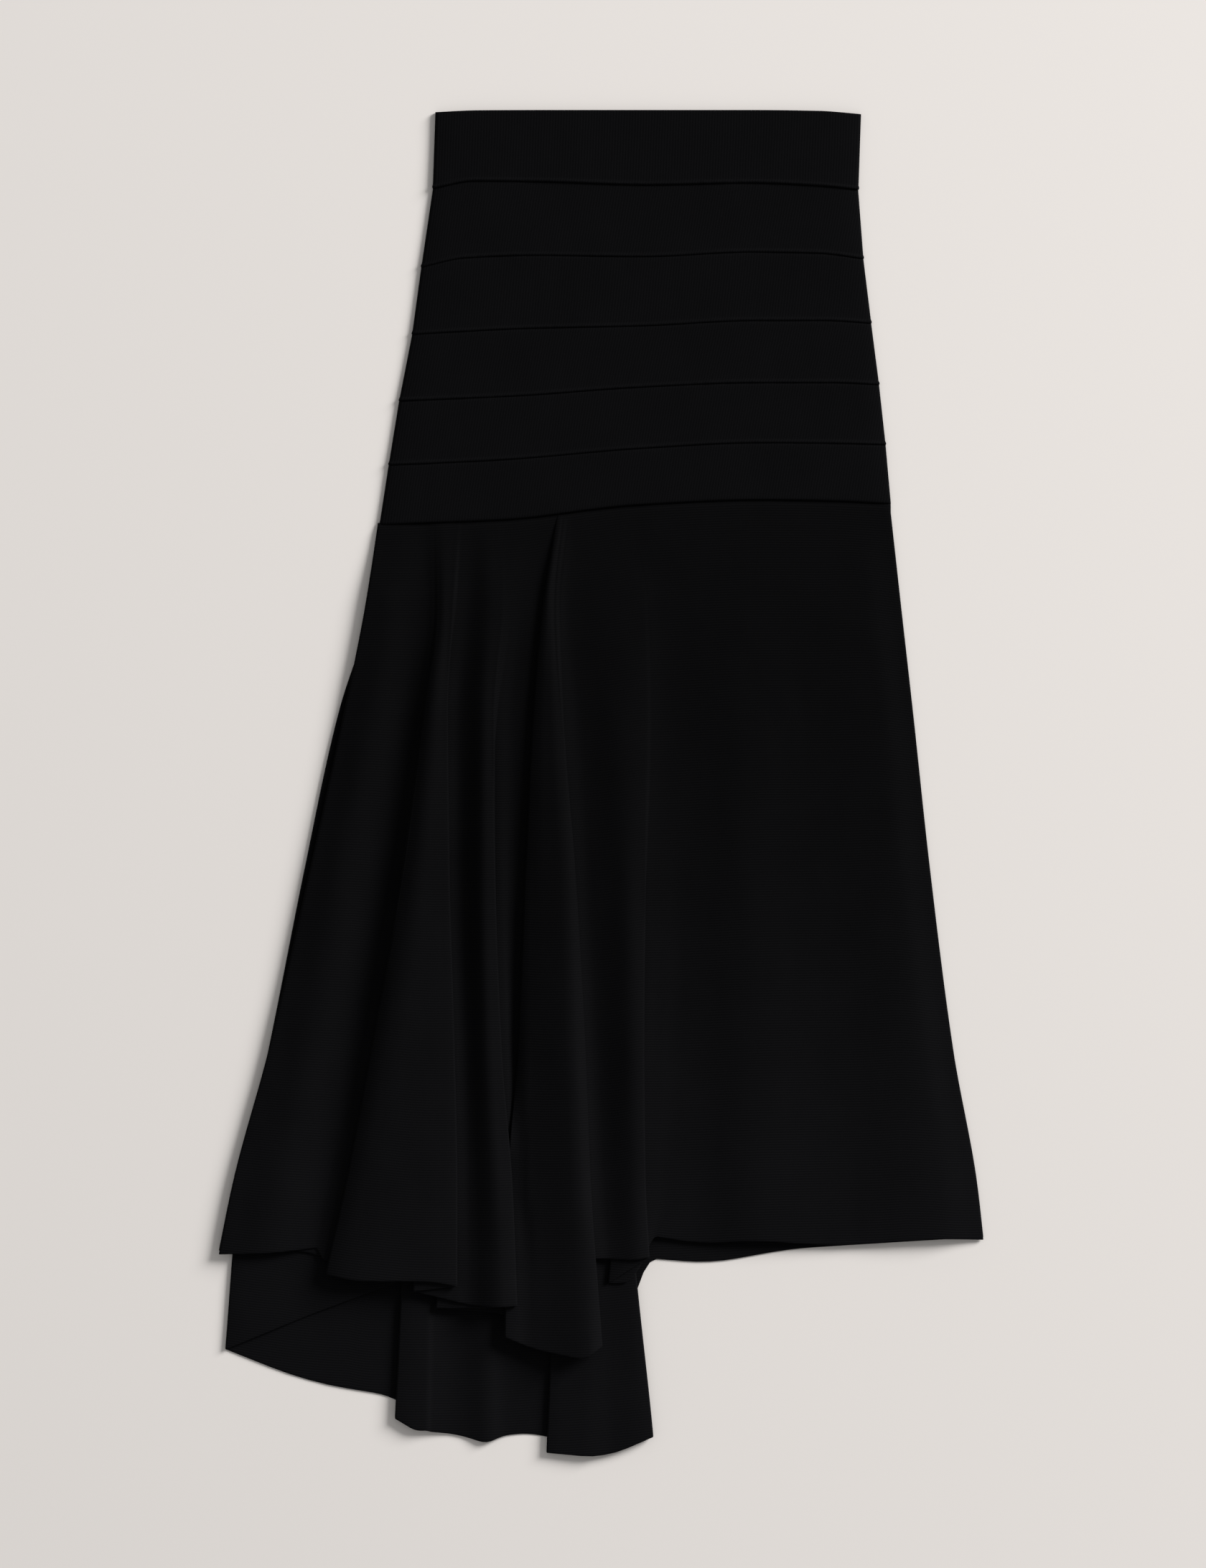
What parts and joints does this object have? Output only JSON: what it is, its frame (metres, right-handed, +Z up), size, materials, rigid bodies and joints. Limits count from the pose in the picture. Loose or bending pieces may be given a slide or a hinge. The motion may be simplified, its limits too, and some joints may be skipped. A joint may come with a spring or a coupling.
{
  "type": "knitted midi skirt",
  "caption": "Knitted midi skirt laid flat: waistband, banded yoke with raised seams, and a flared, slanting skirt folded over itself on one side.",
  "frame": {"origin": "centre of the footprint, on the surface that the skirt lies on", "axes": "+Z up out of the front of the skirt, +Y towards the waist, +X across towards the short side of the hem"},
  "size_m": [0.585, 1.0304, 0.0164],
  "materials": {
    "waistband_front": "matte black fine knit",
    "waistband_back": "matte black fine knit",
    "yoke_band_1_front": "matte black fine knit",
    "yoke_band_1_back": "matte black fine knit",
    "yoke_band_2_front": "matte black fine knit",
    "yoke_band_2_back": "matte black fine knit",
    "yoke_band_3_front": "matte black fine knit",
    "yoke_band_3_back": "matte black fine knit",
    "yoke_band_4_front": "matte black fine knit",
    "yoke_band_4_back": "matte black fine knit",
    "yoke_band_5_front": "matte black fine knit",
    "yoke_band_5_back": "matte black fine knit",
    "flare_front": "matte black fine knit",
    "flare_back": "matte black fine knit"
  },
  "bodies": {
    "root": {"waistband_front": "waistband_front", "waistband_back": "waistband_back", "yoke_band_1_front": "yoke_band_1_front", "yoke_band_1_back": "yoke_band_1_back", "yoke_band_2_front": "yoke_band_2_front", "yoke_band_2_back": "yoke_band_2_back", "yoke_band_3_front": "yoke_band_3_front", "yoke_band_3_back": "yoke_band_3_back", "yoke_band_4_front": "yoke_band_4_front", "yoke_band_4_back": "yoke_band_4_back", "yoke_band_5_front": "yoke_band_5_front", "yoke_band_5_back": "yoke_band_5_back", "flare_front": "flare_front", "flare_back": "flare_back"}
  },
  "joints": []
}
